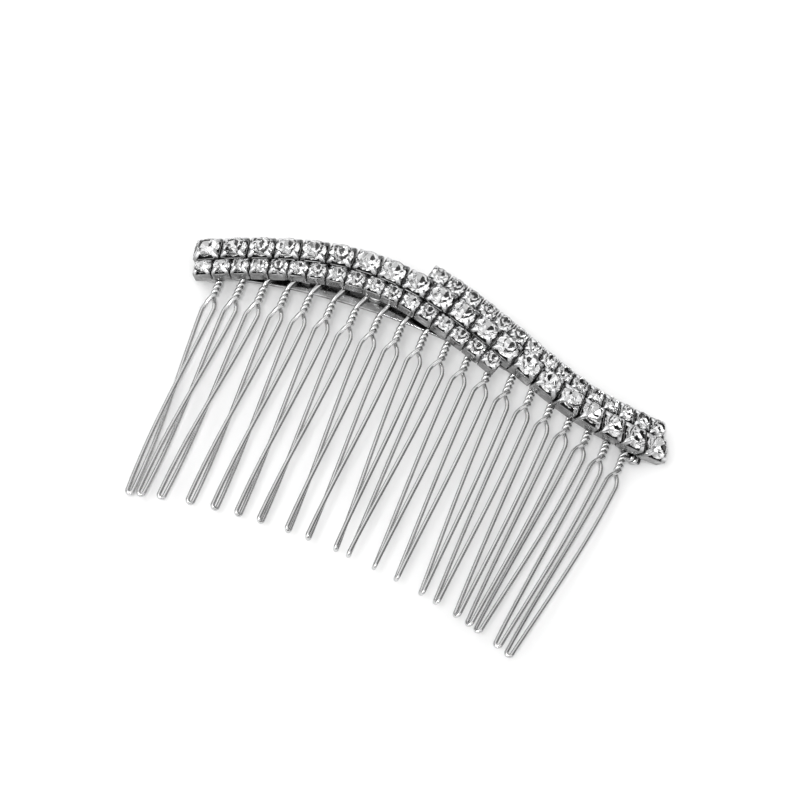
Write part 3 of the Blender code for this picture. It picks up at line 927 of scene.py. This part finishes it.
def add_world():
    """Pale studio: a bright panel on the left between darker flags, a dark flag on the right,
    and a dark patch that stands for the photographer's camera and stays where it is."""
    world = bpy.data.worlds.new("studio")
    bpy.context.scene.world = world
    world.use_nodes = True
    tree = world.node_tree

    def node(kind, inputs=None, **settings):
        return add_node(tree, kind, inputs, **settings).outputs[0]

    def ramp(value, span, start, end):
        return node("ShaderNodeMapRange", {"Value": value, "From Min": span[0], "From Max": span[1],
                    "To Min": start, "To Max": end}, interpolation_type="SMOOTHSTEP")

    direction = add_node(tree, "ShaderNodeTexCoord").outputs["Generated"]
    across = node("ShaderNodeSeparateXYZ", {"Vector": direction})
    right_side = ramp(across, RIGHT_FLAG_START, WORLD_MIDDLE, WORLD_DARK)
    left_side = ramp(across, LEFT_FLAG_END, WORLD_DARK, WORLD_MIDDLE)
    panel = node("ShaderNodeMath", {0: ramp(across, PANEL_START, 0.0, 1.0),
                                    1: ramp(across, PANEL_END, 1.0, 0.0)}, operation="MULTIPLY")
    shaded = node("ShaderNodeMath", {0: right_side, 1: left_side}, operation="MINIMUM")
    lit = node("ShaderNodeMath", {0: panel, 1: WORLD_BRIGHT, 2: shaded}, operation="MULTIPLY_ADD")
    toward = add_node(tree, "ShaderNodeVectorMath", {0: direction, 1: camera_direction()},
                      operation="DOT_PRODUCT").outputs["Value"]
    span = (math.cos(math.radians(HOOD_OUTER)), math.cos(math.radians(HOOD_INNER)))
    hood = ramp(toward, span, 1.0, HOOD_SHADE)
    value = node("ShaderNodeMath", {0: lit, 1: hood}, operation="MULTIPLY")
    tree.links.new(value, tree.nodes["Background"].inputs["Color"])


def add_lights():
    """Two large softboxes in front, and a small key light beside the camera."""
    area_light("front_left_softbox", **LEFT_SOFTBOX)
    area_light("front_right_softbox", **RIGHT_SOFTBOX)
    key_place = KEY_DISTANCE * camera_direction() + KEY_SHIFT
    area_light("key_light", key_place, KEY_SIZE, KEY_POWER)
    bpy.context.scene.view_settings.view_transform = "Standard"


def add_floor(material):
    half = FLOOR_HALF
    mesh = bpy.data.meshes.new("floor")
    corners = [(-half, -half, 0.0), (half, -half, 0.0), (half, half, 0.0), (-half, half, 0.0)]
    mesh.from_pydata(corners, [], [(0, 1, 2, 3)])
    mesh.materials.append(material)
    floor = bpy.data.objects.new("floor", mesh)
    floor.location.z = -FLOOR_DROP
    bpy.context.scene.collection.objects.link(floor)


# ---------------------------------------------------------------- build
def build():
    wire, cups = wire_material(), cup_material()
    inside, solder = painted_shade_inside_material(), solder_material()
    stone = [glass_material(), foil_material()]
    build_band(band_material())
    for number in range(1, TEETH + 1):
        build_tooth(number, wire)
    build_coil("wire_end_left", -1, wire)
    build_coil("wire_end_right", 1, wire)

    jitter = random.Random(JITTER_SEED)
    middle, lower = Line(0.0, END_SPREAD), Line(-ROW_SPACING)
    upper = Line(ROW_SPACING, END_SPREAD)
    pitch = middle.length / LARGE_COUNT
    upper_start = upper.length - RIGHT_COUNT * SMALL_PITCH
    # inside is the material of the cups' inside, painted dark as painted shade.
    sheet = [cups, inside]
    build_cup_row("large_cup_row", middle, 0.0, pitch, LARGE_COUNT, LARGE, sheet, jitter)
    build_cup_row("left_small_cup_row", lower, 0.0, SMALL_PITCH, LEFT_COUNT, SMALL, sheet, jitter)
    build_cup_row("right_small_cup_row", upper, upper_start, SMALL_PITCH, RIGHT_COUNT, SMALL,
                  sheet, jitter)
    build_large_stones(middle, pitch, stone, jitter)
    build_small_stones("left_small_stones", lower, 0.0, LEFT_COUNT, stone, jitter)
    build_small_stones("right_small_stones", upper, upper_start, RIGHT_COUNT, stone, jitter)
    build_pads(solder, jitter)
    between = (LARGE["side"] + ROW_SPACING - SMALL["side"]) / 2
    build_row_solder("left_row_solder", Line(-between), JOINT_MARGIN,
                     LEFT_COUNT * SMALL_PITCH - JOINT_MARGIN, solder, jitter)
    above = Line(between, END_SPREAD)
    build_row_solder("right_row_solder", above,
                     above.length - RIGHT_COUNT * SMALL_PITCH + JOINT_MARGIN,
                     above.length - JOINT_MARGIN, solder, jitter)
    add_floor(floor_material())
    add_camera()
    add_world()
    add_lights()


build()
